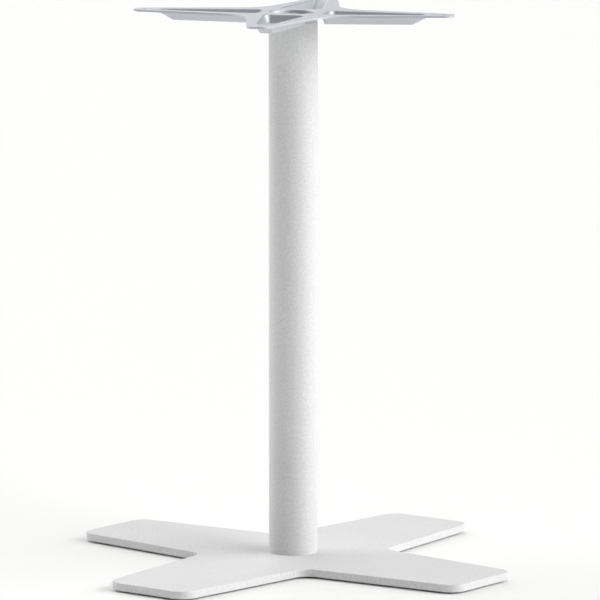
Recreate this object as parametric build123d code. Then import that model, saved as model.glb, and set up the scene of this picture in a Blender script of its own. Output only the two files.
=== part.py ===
from build123d import *
import os
from math import atan, cos, radians, sin, tan

# Pedestal table base: a flat cross-shaped foot plate, a round tube column and a pressed
# four-arm spider that carries the table top. Millimetres, +Z up, origin on the floor
# under the column's axis, the foot plate's arms on the diagonals of X and Y.

total_height = 720.0

# Glides, the plastic pads under the foot plate
glide_height = 2.5
glide_diameter = 30.0
glide_edge_round = 0.8
glide_stem_diameter = 8.0
glide_stem_length = 6.0
glide_stem_clearance = 0.1
glide_hole_spare_depth = 0.6
glide_inset = 38.0

# Foot plate, four arms that narrow outwards
arm_count = 4
first_arm_angle = 45.0
plate_thickness = 10.0
arm_reach = 308.0
arm_end_width = 126.0
notch_reach = 120.4
arm_end_radius = 22.0
notch_radius = 20.0
plate_edge_round = 0.8

# Column tube and the two discs welded into its ends
tube_diameter = 63.5
tube_wall = 2.0
disc_thickness = 10.0
disc_weld_gap = 0.1
disc_edge_bevel = 1.0

# Countersunk socket screws that hold the foot plate to the lower disc
screw_count = 4
screw_circle_diameter = 38.0
screw_diameter = 8.0
screw_length = 19.0
screw_head_diameter = 16.0
screw_head_angle = 90.0
screw_head_sunk = 0.4
screw_socket_width = 5.0
screw_socket_depth = 3.0
screw_hole_clearance = 0.4
thread_gap = 0.05

# Spider, one pressed sheet
spider_turn = -20.0
spider_height = 13.0
spider_sheet = 2.5
spider_reach = 211.0
spider_tip_width = 27.0
spider_tip_radius = 11.0
spider_web_corner = 72.0
spider_web_radius = 60.0
spider_hole_inset = 13.0
spider_hole_diameter = 6.0

# Long pockets pressed down into the arms
pocket_cup_gap = 13.0
pocket_start_width = 57.0
pocket_tip_gap = 34.0
pocket_end_width = 17.0
pocket_wall_lean = 4.5
pocket_end_ramp = 20.0
pocket_start_radius = 9.0
pocket_end_radius = 7.0
pocket_floor_radius = 3.0
pocket_rim_round = 1.6
pocket_foot_round = 1.6

# Round cup pressed into the middle of the spider
cup_diameter = 60.0
cup_wall_lean = 1.5

# Bolt and washer that clamp the spider to the upper disc
bolt_diameter = 10.0
bolt_length = 22.0
bolt_head_width = 16.0
bolt_head_height = 6.4
bolt_head_top_diameter = 15.2
bolt_head_bevel_angle = 30.0
bolt_hole_clearance = 0.5
washer_diameter = 30.0
washer_thickness = 2.0
washer_hole_clearance = 0.25

# Places that follow from the sizes above
plate_bottom = glide_height
plate_top = plate_bottom + plate_thickness
spider_bottom = total_height - spider_height
tube_length = spider_bottom - plate_top
cup_floor = spider_bottom + spider_sheet
pocket_start = cup_diameter / 2 + pocket_cup_gap
pocket_end = spider_reach - pocket_tip_gap
glide_reach = arm_reach - glide_inset
spider_hole_reach = spider_reach - spider_hole_inset

arm_angles = [first_arm_angle + 360.0 / arm_count * turn for turn in range(arm_count)]
spider_angles = [spider_turn + 360.0 / arm_count * turn for turn in range(arm_count)]
standing = (Align.CENTER, Align.CENTER, Align.MIN)


def polar(distance, side, angle):
    """A plan point at a distance along an arm and to one side of its centre line."""
    along = radians(angle)
    return (
        distance * cos(along) - side * sin(along),
        distance * sin(along) + side * cos(along),
    )


def cross_outline(angles, reach, end_width, end_radius, corner_distance, corner_radius):
    """A four-arm cross with rounded ends and rounded inner corners."""
    half_step = 180.0 / arm_count
    points = []
    for angle in angles:
        points.append(polar(reach, -end_width / 2, angle))
        points.append(polar(reach, end_width / 2, angle))
        points.append(polar(corner_distance, 0, angle + half_step))
    outline = make_face(Polyline(*points, close=True))
    middle = (corner_distance + reach) / 2
    ends = outline.vertices().filter_by(lambda v: Vector(v.X, v.Y).length > middle)
    outline = fillet(ends, end_radius)
    corners = outline.vertices().filter_by(lambda v: Vector(v.X, v.Y).length < middle)
    return fillet(corners, corner_radius)


def raised(sketch, bottom, height):
    """A flat outline made into a plate that starts at a given height."""
    return extrude(Pos(0, 0, bottom) * sketch, amount=height)


def foot_plate():
    outline = cross_outline(
        arm_angles,
        arm_reach,
        arm_end_width,
        arm_end_radius,
        notch_reach,
        notch_radius,
    )
    plate = raised(outline, plate_bottom, plate_thickness)
    rims = plate.faces().sort_by(Axis.Z)
    plate = fillet(rims[0].edges() + rims[-1].edges(), plate_edge_round)
    stem_hole = Cylinder(
        glide_stem_diameter / 2 + glide_stem_clearance,
        glide_stem_length + glide_hole_spare_depth,
        align=standing,
    )
    for angle in arm_angles:
        x, y = polar(glide_reach, 0, angle)
        plate -= Pos(x, y, plate_bottom) * stem_hole
    for place in screw_places():
        plate -= place * screw_form(screw_hole_clearance)
    return plate


def screw_places():
    """Where each foot screw's axis meets the underside of the foot plate."""
    step = 360.0 / screw_count
    spots = [polar(screw_circle_diameter / 2, 0, step * turn) for turn in range(screw_count)]
    return [Pos(x, y, plate_bottom) for x, y in spots]


def screw_form(clearance):
    """Head cone and shank on the Z axis, the head's flat face just above the origin."""
    cone_height = (screw_head_diameter - screw_diameter) / 2 / tan(radians(screw_head_angle / 2))
    shank = Cylinder(
        screw_diameter / 2 + clearance,
        screw_length,
        align=standing,
    )
    head = Cone(
        screw_head_diameter / 2 + clearance,
        screw_diameter / 2 + clearance,
        cone_height,
        align=standing,
    )
    form = Pos(0, 0, screw_head_sunk) * (shank + head)
    if clearance:
        mouth = Cylinder(
            screw_head_diameter / 2 + clearance,
            screw_head_sunk,
            align=standing,
        )
        form += mouth
    return form


def foot_screws():
    socket = extrude(
        RegularPolygon(screw_socket_width / 2, 6, major_radius=False),
        amount=screw_socket_depth,
    )
    screw = screw_form(0) - Pos(0, 0, screw_head_sunk) * socket
    return Compound(children=[place * screw for place in screw_places()])


def glide(angle):
    pad = Cylinder(
        glide_diameter / 2,
        glide_height,
        align=standing,
    )
    pad = fillet(pad.edges().sort_by(Axis.Z)[0], glide_edge_round)
    stem = Cylinder(
        glide_stem_diameter / 2,
        glide_stem_length,
        align=standing,
    )
    x, y = polar(glide_reach, 0, angle)
    return Pos(x, y, 0) * (pad + Pos(0, 0, glide_height) * stem)


def column_tube():
    ring = Circle(tube_diameter / 2) - Circle(tube_diameter / 2 - tube_wall)
    return raised(ring, plate_top, tube_length)


def plain_disc():
    radius = tube_diameter / 2 - tube_wall - disc_weld_gap
    disc = Cylinder(radius, disc_thickness, align=standing)
    return chamfer(disc.edges().filter_by(GeomType.CIRCLE), disc_edge_bevel)


def lower_disc():
    disc = Pos(0, 0, plate_top) * plain_disc()
    for place in screw_places():
        disc -= place * Cylinder(
            screw_diameter / 2 + thread_gap,
            plate_thickness + disc_thickness,
            align=standing,
        )
    return disc


def upper_disc():
    bore = Cylinder(bolt_diameter / 2 + thread_gap, disc_thickness, align=standing)
    disc = plain_disc() - bore
    return Pos(0, 0, spider_bottom - disc_thickness) * disc


def pocket_outline(angle, shrink, end_shrink, grow, start_radius, end_radius):
    """A long tapering pocket outline on one spider arm, its sides parallel at every depth."""
    start = pocket_start + shrink - grow
    end = pocket_end - end_shrink + grow
    taper = (pocket_start_width - pocket_end_width) / 2 / (pocket_end - pocket_start)
    start_half = pocket_start_width / 2 - taper * (start - pocket_start) - shrink + grow
    end_half = pocket_start_width / 2 - taper * (end - pocket_start) - shrink + grow
    points = [
        polar(start, -start_half, angle),
        polar(end, -end_half, angle),
        polar(end, end_half, angle),
        polar(start, start_half, angle),
    ]
    outline = make_face(Polyline(*points, close=True))
    middle = (start + end) / 2
    far = outline.vertices().filter_by(lambda v: Vector(v.X, v.Y).length > middle)
    outline = fillet(far, end_radius + grow)
    near = outline.vertices().filter_by(lambda v: Vector(v.X, v.Y).length < middle)
    return fillet(near, start_radius + grow)


def pocket_form(angle, grow, floor, top):
    """The pocket as a solid between its floor and its rim, grown for the outer skin."""
    rim = pocket_outline(angle, 0, 0, grow, pocket_start_radius, pocket_end_radius)
    base = pocket_outline(
        angle,
        pocket_wall_lean,
        pocket_end_ramp,
        grow,
        pocket_floor_radius,
        pocket_floor_radius,
    )
    return loft([Pos(0, 0, floor) * base, Pos(0, 0, top) * rim], ruled=True)


def top_spider():
    pocket_depth = spider_height - spider_sheet
    wall_angle = atan(pocket_wall_lean / pocket_depth)
    skin = spider_sheet / cos(wall_angle) - spider_sheet * tan(wall_angle)
    flange = raised(
        cross_outline(
            spider_angles,
            spider_reach,
            spider_tip_width,
            spider_tip_radius,
            spider_web_corner,
            spider_web_radius,
        ),
        total_height - spider_sheet,
        spider_sheet,
    )
    cup_radius = cup_diameter / 2
    cup_skin = Cone(
        cup_radius - cup_wall_lean + spider_sheet,
        cup_radius + spider_sheet,
        pocket_depth,
        align=standing,
    )
    cup_hollow = Cone(
        cup_radius - cup_wall_lean,
        cup_radius,
        pocket_depth,
        align=standing,
    )
    spider = flange + Pos(0, 0, spider_bottom) * cup_skin
    for angle in spider_angles:
        spider += pocket_form(angle, skin, spider_bottom, total_height - spider_sheet)
    under = spider.faces().filter_by(Axis.Z).sort_by(Axis.Z)[: arm_count + 1]
    feet = under.filter_by(
        lambda face: Vector(face.center().X, face.center().Y).length > cup_radius
    )
    spider = fillet([edge for face in feet for edge in face.edges()], pocket_foot_round)
    spider -= Pos(0, 0, cup_floor) * cup_hollow
    for angle in spider_angles:
        spider -= pocket_form(angle, 0, cup_floor, total_height)
    top = spider.faces().filter_by(Axis.Z).sort_by(Axis.Z)[-1]
    rims = [edge for wire in top.inner_wires() for edge in wire.edges()]
    spider = fillet(rims, pocket_rim_round)
    for angle in spider_angles:
        x, y = polar(spider_hole_reach, 0, angle)
        spider -= Pos(x, y, total_height) * Cylinder(spider_hole_diameter / 2, spider_height)
    return spider - Pos(0, 0, cup_floor) * Cylinder(
        bolt_diameter / 2 + bolt_hole_clearance, spider_height
    )


def hub_washer():
    ring = Circle(washer_diameter / 2) - Circle(bolt_diameter / 2 + washer_hole_clearance)
    return raised(ring, cup_floor, washer_thickness)


def hub_bolt():
    head = extrude(
        RegularPolygon(bolt_head_width / 2, 6, major_radius=False),
        amount=bolt_head_height,
    )
    top_radius = bolt_head_top_diameter / 2
    corner_cut = Cone(
        top_radius + bolt_head_height / tan(radians(bolt_head_bevel_angle)),
        top_radius,
        bolt_head_height,
        align=standing,
    )
    head &= corner_cut
    shank = Cylinder(
        bolt_diameter / 2,
        bolt_length,
        align=(Align.CENTER, Align.CENTER, Align.MAX),
    )
    return Pos(0, 0, cup_floor + washer_thickness) * (head + shank)


os.makedirs("parts", exist_ok=True)
nodes = {
    "base_plate": foot_plate(),
    "base_screws": foot_screws(),
    "column_tube": column_tube(),
    "lower_disc": lower_disc(),
    "upper_disc": upper_disc(),
    "top_spider": top_spider(),
    "hub_washer": hub_washer(),
    "hub_bolt": hub_bolt(),
}
glide_names = ("glide_back_right", "glide_back_left", "glide_front_left", "glide_front_right")
for name, angle in zip(glide_names, arm_angles):
    nodes[name] = glide(angle)
for name, shape in nodes.items():
    export_step(shape, f"parts/{name}.step")
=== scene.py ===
import math

import bmesh
import bpy
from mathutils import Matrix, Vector

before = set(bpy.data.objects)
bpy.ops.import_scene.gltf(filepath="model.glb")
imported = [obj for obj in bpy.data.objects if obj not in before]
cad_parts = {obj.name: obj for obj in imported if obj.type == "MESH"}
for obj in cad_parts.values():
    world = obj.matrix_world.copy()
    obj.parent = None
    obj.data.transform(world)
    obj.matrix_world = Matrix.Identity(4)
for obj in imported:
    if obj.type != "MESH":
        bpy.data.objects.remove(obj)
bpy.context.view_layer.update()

print("loaded", len(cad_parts), "CAD nodes")

# Sockets that share their name with others are reached by number: the values of a Math node
# in multiplied * multiplier + added, and the factor, colours and result of a colour Mix node
multiplied, multiplier, added = 0, 1, 2
mixFactor, mixFirst, mixSecond, mixResult = 0, 6, 7, 2


def linearColour(hexText):
    channels = [int(hexText[i:i + 2], 16) / 255 for i in (1, 3, 5)]
    linear = [c / 12.92 if c <= 0.04045 else ((c + 0.055) / 1.055) ** 2.4 for c in channels]
    return linear + [1.0]


def perMetre(millimetres):
    return 1000 / millimetres  # a texture scale whose features are this size


def addNode(material, kind, settings=(), links=()):
    node = material.node_tree.nodes.new(kind)
    for name, value in dict(settings).items():
        if isinstance(name, int) or name in node.inputs:
            node.inputs[name].default_value = value
        else:
            setattr(node, name, value)
    for socket, source in dict(links).items():
        material.node_tree.links.new(source, node.inputs[socket])
    return node


def newMaterial(name):
    material = bpy.data.materials.new(name)
    material.use_nodes = True
    material.node_tree.nodes.clear()
    place = addNode(material, "ShaderNodeTexCoord").outputs["Object"]
    return material, place


# Cross-shaped foot plate and column: white powder coat, sprayed as dry powder and baked.
# It melts into a hard film with a fine, even pebble, which spreads its highlights into a
# soft matt sheen.
whiteCoat = {
    "colour": "#e8e8e8",
    "shade": "#d6d6d6",
    "grainMm": 2.6,  # the real pebble is about 0.8 mm, drawn coarser so that it shows
    "driftMm": 90,
    "driftShare": 0.2,
    "toneReach": 0.2,
    "roughness": 0.6,
    "roughnessSpread": 0.1,
    "ior": 1.5,
    "specular": 0.25,  # the pebble shades itself, which dulls the sheen at low angles
    "pebbleDepth": 0.00003,
}


def whitePowderCoat():
    material, place = newMaterial("pebbled_white_powder_coat")
    pebble = addNode(
        material, "ShaderNodeTexNoise",
        {"Scale": perMetre(whiteCoat["grainMm"]), "Detail": 4, "Roughness": 0.6},
        {"Vector": place},
    )
    drift = addNode(
        material, "ShaderNodeTexNoise",
        {"Scale": perMetre(whiteCoat["driftMm"]), "Detail": 2},
        {"Vector": place},
    )
    blend = addNode(
        material, "ShaderNodeMath",
        {"operation": "MULTIPLY_ADD", multiplier: whiteCoat["driftShare"]},
        {multiplied: drift.outputs["Fac"], added: pebble.outputs["Fac"]},
    )
    middle = (1 + whiteCoat["driftShare"]) / 2
    tone = addNode(
        material, "ShaderNodeMapRange",
        {
            "From Min": middle - whiteCoat["toneReach"],
            "From Max": middle + whiteCoat["toneReach"],
        },
        {"Value": blend.outputs[0]},
    )
    colour = addNode(
        material, "ShaderNodeMix",
        {
            "data_type": "RGBA",
            mixFirst: linearColour(whiteCoat["shade"]),
            mixSecond: linearColour(whiteCoat["colour"]),
        },
        {mixFactor: tone.outputs["Result"]},
    )
    gloss = addNode(
        material, "ShaderNodeMapRange",
        {
            "To Min": whiteCoat["roughness"] - whiteCoat["roughnessSpread"],
            "To Max": whiteCoat["roughness"] + whiteCoat["roughnessSpread"],
        },
        {"Value": pebble.outputs["Fac"]},
    )
    relief = addNode(
        material, "ShaderNodeBump",
        {"Strength": 1.0, "Distance": whiteCoat["pebbleDepth"]},
        {"Height": pebble.outputs["Fac"]},
    )
    film = addNode(
        material, "ShaderNodeBsdfPrincipled",
        {"IOR": whiteCoat["ior"], "Specular IOR Level": whiteCoat["specular"]},
        {
            "Base Color": colour.outputs[mixResult],
            "Roughness": gloss.outputs["Result"],
            "Normal": relief.outputs["Normal"],
        },
    )
    addNode(material, "ShaderNodeOutputMaterial", links={"Surface": film.outputs["BSDF"]})
    return material


# Spider: silver powder coat. Metal flakes in a clear film give a soft grey sheen, with a
# faint blue in the darker flakes.
silverCoat = {
    "colour": "#d8d8d9",
    "shade": "#b9c1cc",
    "flakeMm": 1.4,  # real flakes are a tenth of this, drawn coarser so that they show
    "metallic": 0.65,
    "roughness": 0.52,
    "roughnessSpread": 0.08,
    "pebbleDepth": 0.00004,
}


def silverPowderCoat():
    material, place = newMaterial("silver_powder_coat")
    flakes = addNode(
        material, "ShaderNodeTexNoise",
        {"Scale": perMetre(silverCoat["flakeMm"]), "Detail": 3, "Roughness": 0.65},
        {"Vector": place},
    )
    colour = addNode(
        material, "ShaderNodeMix",
        {
            "data_type": "RGBA",
            mixFirst: linearColour(silverCoat["shade"]),
            mixSecond: linearColour(silverCoat["colour"]),
        },
        {mixFactor: flakes.outputs["Fac"]},
    )
    gloss = addNode(
        material, "ShaderNodeMapRange",
        {
            "To Min": silverCoat["roughness"] - silverCoat["roughnessSpread"],
            "To Max": silverCoat["roughness"] + silverCoat["roughnessSpread"],
        },
        {"Value": flakes.outputs["Fac"]},
    )
    relief = addNode(
        material, "ShaderNodeBump",
        {"Strength": 1.0, "Distance": silverCoat["pebbleDepth"]},
        {"Height": flakes.outputs["Fac"]},
    )
    film = addNode(
        material, "ShaderNodeBsdfPrincipled",
        {"Metallic": silverCoat["metallic"]},
        {
            "Base Color": colour.outputs[mixResult],
            "Roughness": gloss.outputs["Result"],
            "Normal": relief.outputs["Normal"],
        },
    )
    addNode(material, "ShaderNodeOutputMaterial", links={"Surface": film.outputs["BSDF"]})
    return material


# Discs in the tube's ends: mild steel faced on a lathe and left oiled, so fine rings run
# round the axis and the metal is a warm grey.
steelDisc = {
    "colour": "#9c9a96",
    "shade": "#82807c",
    "feedMm": 0.6,  # spacing of the tool marks
    "stainMm": 14,
    "roughness": 0.34,
    "roughnessSpread": 0.08,
    "markDepth": 0.00003,
}


def turnedSteel():
    material, place = newMaterial("turned_mild_steel")
    ringPeriod = 2 * math.pi / 20  # the wave texture's own period at scale 1
    marks = addNode(
        material, "ShaderNodeTexWave",
        {
            "wave_type": "RINGS",
            "rings_direction": "Z",
            "Scale": ringPeriod * perMetre(steelDisc["feedMm"]),
            "Distortion": 0.4,
        },
        {"Vector": place},
    )
    stain = addNode(
        material, "ShaderNodeTexNoise",
        {"Scale": perMetre(steelDisc["stainMm"]), "Detail": 5},
        {"Vector": place},
    )
    colour = addNode(
        material, "ShaderNodeMix",
        {
            "data_type": "RGBA",
            mixFirst: linearColour(steelDisc["shade"]),
            mixSecond: linearColour(steelDisc["colour"]),
        },
        {mixFactor: stain.outputs["Fac"]},
    )
    gloss = addNode(
        material, "ShaderNodeMapRange",
        {
            "To Min": steelDisc["roughness"] - steelDisc["roughnessSpread"],
            "To Max": steelDisc["roughness"] + steelDisc["roughnessSpread"],
        },
        {"Value": stain.outputs["Fac"]},
    )
    relief = addNode(
        material, "ShaderNodeBump",
        {"Strength": 1.0, "Distance": steelDisc["markDepth"]},
        {"Height": marks.outputs["Fac"]},
    )
    metal = addNode(
        material, "ShaderNodeBsdfPrincipled",
        {"Metallic": 1.0},
        {
            "Base Color": colour.outputs[mixResult],
            "Roughness": gloss.outputs["Result"],
            "Normal": relief.outputs["Normal"],
        },
    )
    addNode(material, "ShaderNodeOutputMaterial", links={"Surface": metal.outputs["BSDF"]})
    return material


# Bolt, washer and foot screws: steel electroplated with zinc and passivated, bright with a
# slightly blue, cloudy skin.
zincPlate = {
    "colour": "#ced2d8",
    "shade": "#aab0b8",
    "cloudMm": 3.5,
    "grainMm": 0.4,
    "roughness": 0.3,
    "roughnessSpread": 0.1,
    "grainDepth": 0.00002,
}


def zincPlatedSteel():
    material, place = newMaterial("passivated_zinc_plate")
    cloud = addNode(
        material, "ShaderNodeTexNoise",
        {"Scale": perMetre(zincPlate["cloudMm"]), "Detail": 4, "Distortion": 0.6},
        {"Vector": place},
    )
    grain = addNode(
        material, "ShaderNodeTexNoise",
        {"Scale": perMetre(zincPlate["grainMm"]), "Detail": 2},
        {"Vector": place},
    )
    colour = addNode(
        material, "ShaderNodeMix",
        {
            "data_type": "RGBA",
            mixFirst: linearColour(zincPlate["shade"]),
            mixSecond: linearColour(zincPlate["colour"]),
        },
        {mixFactor: cloud.outputs["Fac"]},
    )
    gloss = addNode(
        material, "ShaderNodeMapRange",
        {
            "To Min": zincPlate["roughness"] + zincPlate["roughnessSpread"],
            "To Max": zincPlate["roughness"] - zincPlate["roughnessSpread"],
        },
        {"Value": cloud.outputs["Fac"]},
    )
    relief = addNode(
        material, "ShaderNodeBump",
        {"Strength": 1.0, "Distance": zincPlate["grainDepth"]},
        {"Height": grain.outputs["Fac"]},
    )
    metal = addNode(
        material, "ShaderNodeBsdfPrincipled",
        {"Metallic": 1.0},
        {
            "Base Color": colour.outputs[mixResult],
            "Roughness": gloss.outputs["Result"],
            "Normal": relief.outputs["Normal"],
        },
    )
    addNode(material, "ShaderNodeOutputMaterial", links={"Surface": metal.outputs["BSDF"]})
    return material


# Glides: injection-moulded black polyethylene with a spark-eroded mould texture, waxy and
# without sharp highlights.
glidePad = {
    "colour": "#1d1d1f",
    "scuff": "#2c2c2e",
    "textureMm": 0.5,
    "scuffMm": 6,
    "roughness": 0.5,
    "ior": 1.51,
    "textureDepth": 0.00003,
}


def mouldedPolyethylene():
    material, place = newMaterial("moulded_polyethylene")
    texture = addNode(
        material, "ShaderNodeTexNoise",
        {"Scale": perMetre(glidePad["textureMm"]), "Detail": 2},
        {"Vector": place},
    )
    scuff = addNode(
        material, "ShaderNodeTexNoise",
        {"Scale": perMetre(glidePad["scuffMm"]), "Detail": 5},
        {"Vector": place},
    )
    colour = addNode(
        material, "ShaderNodeMix",
        {
            "data_type": "RGBA",
            mixFirst: linearColour(glidePad["colour"]),
            mixSecond: linearColour(glidePad["scuff"]),
        },
        {mixFactor: scuff.outputs["Fac"]},
    )
    relief = addNode(
        material, "ShaderNodeBump",
        {"Strength": 1.0, "Distance": glidePad["textureDepth"]},
        {"Height": texture.outputs["Fac"]},
    )
    plastic = addNode(
        material, "ShaderNodeBsdfPrincipled",
        {"Roughness": glidePad["roughness"], "IOR": glidePad["ior"]},
        {"Base Color": colour.outputs[mixResult], "Normal": relief.outputs["Normal"]},
    )
    addNode(material, "ShaderNodeOutputMaterial", links={"Surface": plastic.outputs["BSDF"]})
    return material


whiteFinish = whitePowderCoat()
steelFinish = turnedSteel()
zincFinish = zincPlatedSteel()
padFinish = mouldedPolyethylene()
finishes = {
    "base_plate": whiteFinish,
    "column_tube": whiteFinish,
    "top_spider": silverPowderCoat(),
    "lower_disc": steelFinish,
    "upper_disc": steelFinish,
    "base_screws": zincFinish,
    "hub_washer": zincFinish,
    "hub_bolt": zincFinish,
    "glide_front_left": padFinish,
    "glide_front_right": padFinish,
    "glide_back_left": padFinish,
    "glide_back_right": padFinish,
}
for node, material in finishes.items():
    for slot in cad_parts[node].material_slots:
        slot.material = material
print("finishes on", len(finishes), "nodes")


# Floor: a wide sheet of matt white paper
floorSheet = {
    "halfWidth": 40.0,
    "colour": "#fbfbfa",
    "fibreMm": 3.0,
    "fibreStrength": 0.2,
    "fibreDepth": 0.00002,
    "roughness": 0.9,
    "specular": 0.2,
}


def layFloor():
    mesh = bpy.data.meshes.new("floor")
    form = bmesh.new()
    bmesh.ops.create_grid(form, x_segments=1, y_segments=1, size=floorSheet["halfWidth"])
    form.to_mesh(mesh)
    form.free()
    floor = bpy.data.objects.new("floor", mesh)
    bpy.context.scene.collection.objects.link(floor)
    material, place = newMaterial("matt_paper")
    fibres = addNode(
        material, "ShaderNodeTexNoise",
        {"Scale": perMetre(floorSheet["fibreMm"]), "Detail": 2},
        {"Vector": place},
    )
    relief = addNode(
        material, "ShaderNodeBump",
        {"Strength": floorSheet["fibreStrength"], "Distance": floorSheet["fibreDepth"]},
        {"Height": fibres.outputs["Fac"]},
    )
    paper = addNode(
        material, "ShaderNodeBsdfPrincipled",
        {
            "Base Color": linearColour(floorSheet["colour"]),
            "Roughness": floorSheet["roughness"],
            "Specular IOR Level": floorSheet["specular"],
        },
        {"Normal": relief.outputs["Normal"]},
    )
    addNode(material, "ShaderNodeOutputMaterial", links={"Surface": paper.outputs["BSDF"]})
    mesh.materials.append(material)


def aim(thing, away, target):
    thing.location = target + away
    thing.rotation_mode = "QUATERNION"
    thing.rotation_quaternion = (-away).to_track_quat("-Z", "Y")


def direction(turn, height):
    # turn goes from the front, -Y, towards +X; both angles are in degrees
    turn, height = math.radians(turn), math.radians(height)
    across = math.cos(height)
    return Vector((math.sin(turn) * across, -math.cos(turn) * across, math.sin(height)))


# Camera: where the photo was taken from, left of the front and a little above
photo = {
    "turn": -7.5,
    "height": 8.0,
    "distance": 7.5,
    "pixelsPerMetre": 770,
    "aimHeight": 0.3725,
    "centrePixel": (293.2, 278.4),
    "frameSide": 600,
    "sensor": 36.0,
    "clipEnd": 200,
}


def placeCamera(target):
    side = photo["frameSide"]
    across, down = photo["centrePixel"]
    camera = bpy.data.cameras.new("camera")
    camera.sensor_width = photo["sensor"]
    camera.lens = photo["pixelsPerMetre"] * photo["distance"] * photo["sensor"] / side
    camera.clip_end = photo["clipEnd"]
    camera.shift_x = (side / 2 - across) / side
    camera.shift_y = (down - side / 2) / side
    holder = bpy.data.objects.new("camera", camera)
    bpy.context.scene.collection.objects.link(holder)
    aim(holder, direction(photo["turn"], photo["height"]) * photo["distance"], target)
    bpy.context.scene.camera = holder


# Lights: broad soft lamps a long way off, each turned from the camera's side
studio = {
    "ambient": 0.07,
    "ambientColour": "#ffffff",
    "suns": {
        "key": {"turn": 60, "height": 35, "spread": 40, "strength": 1.45},
        "side": {"turn": 95, "height": 20, "spread": 40, "strength": 1.5},
        "left": {"turn": -100, "height": 25, "spread": 50, "strength": 0.45},
        "rim": {"turn": -140, "height": 30, "spread": 80, "strength": 2.0},
        "top": {"turn": 0, "height": 85, "spread": 60, "strength": 0.48},
    },
}


def lightStudio(target):
    world = bpy.data.worlds.new("studio")
    bpy.context.scene.world = world
    world.use_nodes = True
    background = world.node_tree.nodes["Background"]
    background.inputs["Color"].default_value = linearColour(studio["ambientColour"])
    background.inputs["Strength"].default_value = studio["ambient"]
    for name, sun in studio["suns"].items():
        light = bpy.data.lights.new(name, "SUN")
        light.angle = math.radians(sun["spread"])
        light.energy = sun["strength"]
        lamp = bpy.data.objects.new(name, light)
        bpy.context.scene.collection.objects.link(lamp)
        aim(lamp, direction(photo["turn"] + sun["turn"], sun["height"]), target)


bpy.context.scene.view_settings.view_transform = "Standard"
middleOfColumn = Vector((0, 0, photo["aimHeight"]))
layFloor()
lightStudio(middleOfColumn)
placeCamera(middleOfColumn)
print("studio ready")
